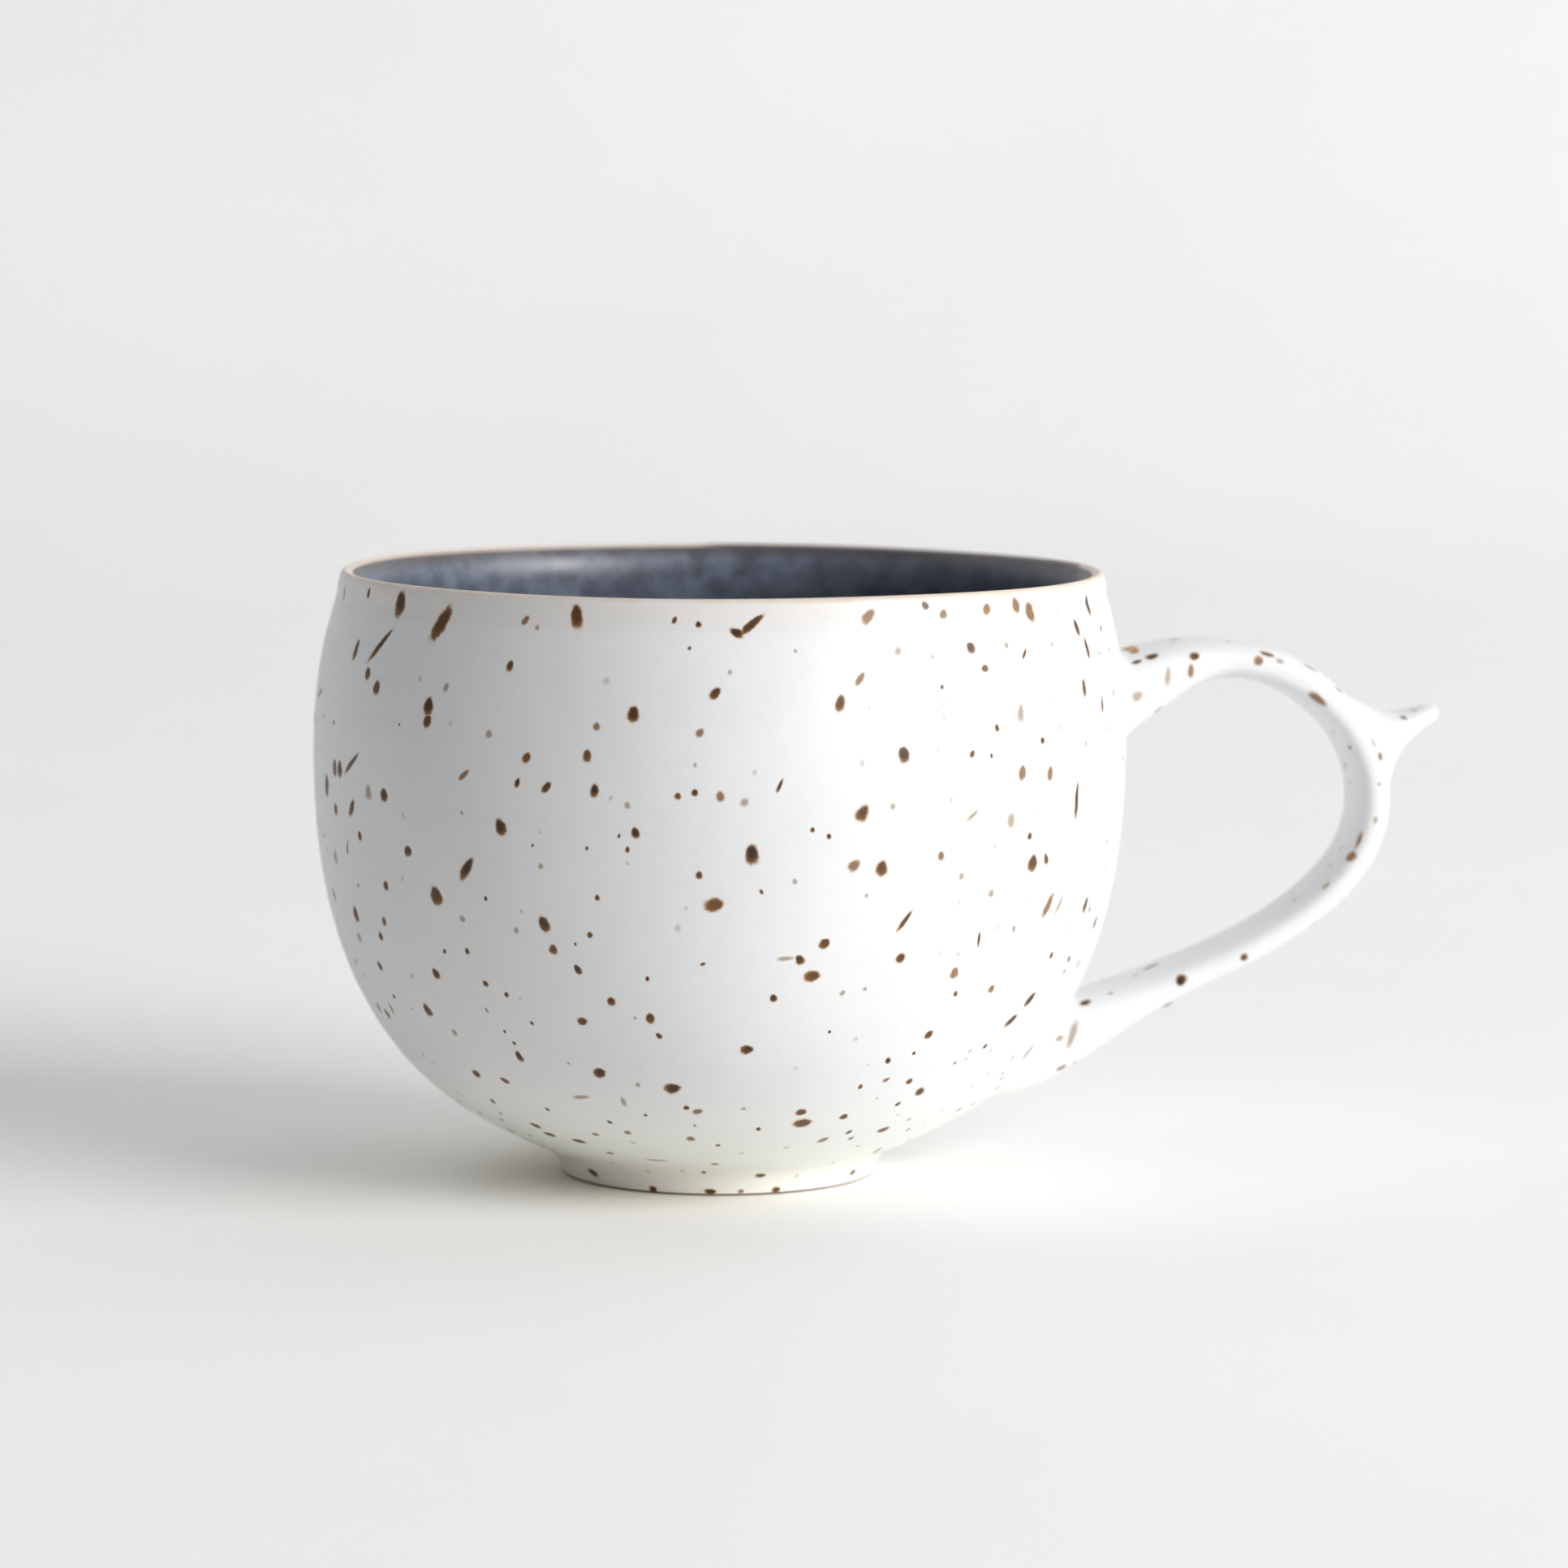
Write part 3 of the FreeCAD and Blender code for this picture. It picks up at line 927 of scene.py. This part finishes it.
def spot_layers(g, position):
    """Iron spots from the face attributes: their cover and stain shares and their own colour."""
    centre, long_way, wide_way, look = (g.attribute(field) for field in SPOT_FIELDS)
    offset = g.vector("SUBTRACT", position, centre)
    u = g.vector("DOT_PRODUCT", offset, long_way)
    v = g.vector("DOT_PRODUCT", offset, wide_way)
    v = g.math("MULTIPLY", v, g.math("ADD", g.math("MULTIPLY", u, 0.14), 1.0))
    ragged = g.noise(position, 1.2, 3.0, 0.6)
    reach = g.math("ADD", g.hypot(u, v), g.math("MULTIPLY", g.math("SUBTRACT", ragged, 0.5), 0.7))
    split = g.tree.nodes.new("ShaderNodeSeparateXYZ")
    g.plug(split.inputs[0], look)
    amber, cover, softness = split.outputs
    core = g.fade(reach, g.math("ADD", 1.0, softness), g.math("SUBTRACT", 1.0, softness))
    stain = g.fade(reach, 1.55, 0.8)
    heart = g.fade(g.math("ADD", reach, g.math("MULTIPLY", u, -0.25)), 1.15, 0.35)
    heart = g.math("MULTIPLY", heart, g.math("SUBTRACT", 1.0, amber))
    tint = g.mix(heart, SPOT_BODY, SPOT_HEART)
    tint = g.mix(g.fade(cover, 0.75, 0.3), tint, SPOT_WEAK)
    return g.math("MULTIPLY", core, cover), g.math("MULTIPLY", stain, cover), tint


def lip_edge(g, x, y, z, radius):
    """Where the coat thins over the inner edge of the lip: its colour and how much of it shows."""
    away = g.math("DIVIDE", g.math("ADD", x, y), radius)
    toasted = g.fade(away, 1.02, 1.14)
    bare_at = g.mix_value(toasted, LIP_EDGE - EDGE_SOFTNESS, TOASTED_EDGE - EDGE_SOFTNESS)
    edge = g.fade(radius, g.mix_value(toasted, LIP_EDGE, TOASTED_EDGE), bare_at)
    edge = g.math("MULTIPLY", edge, g.fade(z, TOP - 3.0, TOP - 2.0))
    tint = g.mix(toasted, LIP_CLAY, LIP_TOAST)
    return tint, g.math("MULTIPLY", edge, g.mix_value(toasted, 0.4, 0.9))


def speckled_white_glaze():
    """Satin off-white glaze: cloudy body colour, warm thin lip, pooled foot lightened by painted bounce
    light, and iron spots.
    """
    material, g, surface = new_material("speckled_white_glaze")
    position, x, y, z = g.place()
    radius = g.hypot(x, y)
    cloud = g.noise(position, 0.05, 4.0, 0.5)
    grain = g.noise(position, 1.1, 3.0, 0.6)
    sand = g.noise(position, 2.4, 2.0)
    base = g.mix(g.fade(cloud, 0.3, 0.7), WHITE, WHITE_CLOUD)
    base = g.layer(base, g.fade(grain, 0.55, 0.8), 0.12, WHITE_GRAIN)
    base = g.layer(base, g.fade(sand, 0.45, 0.7), 0.1, WHITE_SAND)
    # the lower wall and foot: real pooled glaze tint, lightened well above the body's white as painted floor
    # bounce light
    base = g.layer(base, g.fade(z, 20.0, 5.0), 0.9, POOLED_WHITE_AND_PAINTED_BOUNCE)
    base = g.layer(base, g.fade(z, 6.0, 2.0), 0.6, GLASSY_FOOT_AND_PAINTED_BOUNCE)
    on_wall = g.fade(radius, 49.0, 48.5)
    wander = g.math("MULTIPLY", g.math("SUBTRACT", g.noise(position, 0.22, 3.0), 0.5), 0.8)
    height = g.math("ADD", z, wander)
    creamy = g.math("MULTIPLY", g.fade(height, TOP - 5.5, TOP - 2.0), on_wall)
    base = g.layer(base, creamy, 0.4, CREAMY_BAND)
    dragged = g.math("MULTIPLY", g.fade(height, TOP - 4.1, TOP - 3.8), g.fade(height, TOP - 3.4, TOP - 3.7))
    base = g.layer(base, dragged, 0.08, DRAGGED_LINE)
    thin = g.math("MULTIPLY", g.fade(height, TOP - 0.9, TOP - 0.1), on_wall)
    base = g.layer(base, thin, 0.6, THIN_WHITE)
    edge_tint, edge_share = lip_edge(g, x, y, z, radius)
    base = g.mix(edge_share, base, edge_tint)
    core, stain, tint = spot_layers(g, position)
    base = g.layer(base, stain, 0.3, SPOT_STAIN)
    base = g.mix(core, base, tint)
    g.plug(surface.inputs["Base Color"], base)
    rough = g.fade(g.noise(position, 0.4, 3.0), 0.3, 0.7, 0.36, 0.46)
    g.plug(surface.inputs["Roughness"], rough)
    surface.inputs["Specular IOR Level"].default_value = 0.42
    relief = g.math("MULTIPLY", g.noise(position, 0.35, 4.0, 0.55), 0.5)
    relief = g.math("SUBTRACT", relief, g.math("MULTIPLY", core, 0.12))
    relief = g.math("ADD", relief, g.math("MULTIPLY", sand, 0.12))
    g.plug(surface.inputs["Normal"], g.bump(relief, 0.00008, 0.6))
    return material


def slate_liner_glaze():
    """Glossy dark slate with a soft blue-grey mottle, browner where it thins at the lip."""
    material, g, surface = new_material("slate_liner_glaze")
    position, *_, z = g.place()
    mottle = g.noise(position, 0.25, 5.0, 0.6)
    fine = g.noise(position, 1.1, 3.0, 0.6)
    base = g.mix(g.fade(mottle, 0.35, 0.68), SLATE, SLATE_CLOUD)
    base = g.layer(base, g.fade(fine, 0.45, 0.75), 0.45, SLATE_GRAIN)
    base = g.layer(base, g.fade(z, TOP - 2.2, TOP - 0.8), 0.6, THIN_SLATE)
    g.plug(surface.inputs["Base Color"], base)
    g.plug(surface.inputs["Roughness"], g.fade(mottle, 0.35, 0.65, 0.36, 0.52))
    surface.inputs["Specular IOR Level"].default_value = 0.75
    relief = g.math("ADD", mottle, g.math("MULTIPLY", fine, 0.25))
    g.plug(surface.inputs["Normal"], g.bump(relief, 0.00015, 0.5))
    return material


def bare_clay():
    """Matt buff stoneware with iron specks and a toasted tint."""
    material, g, surface = new_material("bare_clay")
    position, *_ = g.place()
    toast = g.noise(position, 0.12, 4.0, 0.6)
    sand = g.noise(position, 2.2, 3.0, 0.7)
    base = g.mix(g.fade(toast, 0.3, 0.7), CLAY, CLAY_TOAST)
    base = g.layer(base, g.fade(sand, 0.45, 0.75), 0.5, CLAY_SAND)
    cells = g.tree.nodes.new("ShaderNodeTexVoronoi")
    g.plug(cells.inputs["Vector"], position)
    cells.inputs["Scale"].default_value = 0.55
    base = g.layer(base, g.fade(cells.outputs["Distance"], 0.2, 0.12), 0.8, CLAY_SPECK)
    g.plug(surface.inputs["Base Color"], base)
    surface.inputs["Specular IOR Level"].default_value = 0.25
    g.plug(surface.inputs["Roughness"], g.fade(sand, 0.3, 0.7, 0.78, 0.92))
    g.plug(surface.inputs["Normal"], g.bump(sand, 0.00025, 0.7))
    return material


def pale_floor():
    """Plain pale studio sweep, faintly uneven, with a painted warm bounce light in the pot's shadow."""
    material, g, surface = new_material("pale_floor")
    position, x, y, _ = g.place()
    cloud = g.noise(position, 0.004, 3.0)
    base = g.mix(g.fade(cloud, 0.3, 0.7), PAPER, PAPER_CLOUD)
    away = g.hypot(x, y)
    # painted warm bounce light: the paper turns warm near the pot, on the side away from the window, where
    # its shadow falls
    close = g.math("ADD", g.fade(away, 45.0, 18.0, 0.0, 0.7), g.fade(away, 110.0, 50.0, 0.0, 0.3))
    base = g.layer(base, close, g.fade(x, 20.0, -15.0), PAINTED_WARM_BOUNCE)
    g.plug(surface.inputs["Base Color"], base)
    g.plug(surface.inputs["Roughness"], g.fade(cloud, 0.3, 0.7, 0.7, 0.8))
    surface.inputs["Specular IOR Level"].default_value = 0.2
    g.plug(surface.inputs["Normal"], g.bump(g.noise(position, 0.05, 3.0), 0.0001, 0.3))
    return material


def paint(piece, material):
    """Gives a piece one material on all its faces."""
    piece.data.materials.clear()
    piece.data.materials.append(material)


# ---- studio ----

HANDLE_TURN = 8.0           # degrees the handle points away from the camera
CAMERA_SIDE = 8.0           # mm right of the pot's axis
CAMERA_DISTANCE = 720.8     # mm in front of the pot's axis
CAMERA_HEIGHT = 127.5       # mm above the foot
CAMERA_DOWN = 6.28          # degrees
CAMERA_ROLL = 0.31          # degrees
CAMERA_LENS = 134.7         # mm on the 36 mm sensor
FOCUS = 0.690               # m
F_STOP = 16.0
WORLD_STRENGTH = 0.19
LIGHTS = [                  # (name, place, aim, size in m, watts, tint)
    ("window", (1770, -1020, 780), (0, 0, 40), (1.6, 1.2), 57.0, (1.0, 0.995, 0.985)),
    ("overhead", (0, -300, 2500), (0, -300, 0), (3.0, 3.0), 5.2, (1.0, 1.0, 1.0)),
    ("left_wall", (-1500, 900, 1800), (-300, 1000, 300), (1.5, 1.5), 8.6, (1.0, 1.0, 1.0)),
    ("right_wall", (1200, 1000, 1800), (300, 1200, 300), (1.5, 1.5), 5.0, (1.0, 1.0, 1.0)),
]
SWEEP_FRONT = -3200.0       # mm; the floor's end behind the camera
SWEEP_BACK = 1500.0         # the backdrop
SWEEP_BEND = 600.0          # radius of the bend between the two
SWEEP_TOP = 3000.0
SWEEP_HALF_WIDTH = 4000.0
BEND_STEPS = 24


def from_camera_side(x, y, z):
    """A place in mm given with the camera looking along +Y, in metres in the mug's frame."""
    turn = Matrix.Rotation(-math.radians(HANDLE_TURN), 4, "Z")
    return turn @ (Vector((x, y, z)) * MM)


def make_camera():
    """The camera at the photograph's viewing angle."""
    data = bpy.data.cameras.new("camera")
    data.sensor_width = 36.0
    data.lens = CAMERA_LENS
    data.clip_start = 0.01
    data.clip_end = 20.0
    data.dof.use_dof = True
    data.dof.focus_distance = FOCUS
    data.dof.aperture_fstop = F_STOP
    camera = bpy.data.objects.new("camera", data)
    bpy.context.scene.collection.objects.link(camera)
    place = Matrix.Translation(from_camera_side(CAMERA_SIDE, -CAMERA_DISTANCE, CAMERA_HEIGHT))
    yaw = Matrix.Rotation(-math.radians(HANDLE_TURN), 4, "Z")
    pitch = Matrix.Rotation(math.radians(90 - CAMERA_DOWN), 4, "X")
    roll = Matrix.Rotation(math.radians(CAMERA_ROLL), 4, "Z")
    camera.matrix_world = place @ yaw @ pitch @ roll
    bpy.context.scene.camera = camera


def make_light(name, place, aim, size, watts, tint):
    """A rectangular soft light aimed at a point."""
    data = bpy.data.lights.new(name, "AREA")
    data.shape = "RECTANGLE"
    data.size, data.size_y = size
    data.energy = watts
    data.color = tint
    light = bpy.data.objects.new(name, data)
    bpy.context.scene.collection.objects.link(light)
    light.location = from_camera_side(*place)
    direction = from_camera_side(*aim) - light.location
    light.rotation_euler = direction.to_track_quat("-Z", "Y").to_euler()
    light.visible_camera = False


def make_sweep():
    """Pale floor that curves up into a backdrop well behind the mug."""
    bend_start = SWEEP_BACK - SWEEP_BEND
    profile = [(SWEEP_FRONT, 0.0), (bend_start, 0.0)]
    for step in range(1, BEND_STEPS + 1):
        turn = math.pi / 2 * step / BEND_STEPS
        profile.append((bend_start + SWEEP_BEND * math.sin(turn), SWEEP_BEND * (1 - math.cos(turn))))
    profile.append((SWEEP_BACK, SWEEP_TOP))
    points = []
    for y, z in profile:
        points.append(from_camera_side(-SWEEP_HALF_WIDTH, y, z))
        points.append(from_camera_side(SWEEP_HALF_WIDTH, y, z))
    faces = [(2 * i, 2 * i + 1, 2 * i + 3, 2 * i + 2) for i in range(len(profile) - 1)]
    mesh = bpy.data.meshes.new("sweep")
    mesh.from_pydata([tuple(p) for p in points], [], faces)
    mesh.shade_smooth()
    sweep = bpy.data.objects.new("sweep", mesh)
    bpy.context.scene.collection.objects.link(sweep)
    paint(sweep, pale_floor())


def make_world(strength):
    """Dim white light from all round."""
    world = bpy.data.worlds.new("studio")
    world.use_nodes = True
    background = world.node_tree.nodes["Background"]
    background.inputs["Color"].default_value = (0.98, 0.99, 1.0, 1.0)
    background.inputs["Strength"].default_value = strength
    bpy.context.scene.world = world


# ---- build ----

glaze = speckled_white_glaze()
clay = bare_clay()
outside = make_outside_coat()
inside = make_inside_coat()
bowl = make_bowl()
foot = make_foot()
recess = make_recess_coat()
handle, strap_centre = make_handle_coat()

spots_on(outside, WALL_TRIES, lambda centre: UP, WALL_SEED, WALL_SPOTS, wall_place, on_outer_wall)
spots_on(handle, HANDLE_TRIES, along_strap(strap_centre), HANDLE_SEED, HANDLE_SPOTS, handle_places(handle))
spots_on(recess, RECESS_TRIES, lambda centre: ACROSS, RECESS_SEED)

for piece in (outside, recess, handle):
    paint(piece, glaze)
for piece in (bowl, foot):
    paint(piece, clay)
paint(inside, slate_liner_glaze())
for name in ("handle_strap", "thumb_spur", "upper_luting", "lower_luting"):
    paint(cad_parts[name], clay)

make_sweep()
make_camera()
make_world(WORLD_STRENGTH)
for light in LIGHTS:
    make_light(*light)
bpy.context.scene.view_settings.view_transform = "Standard"
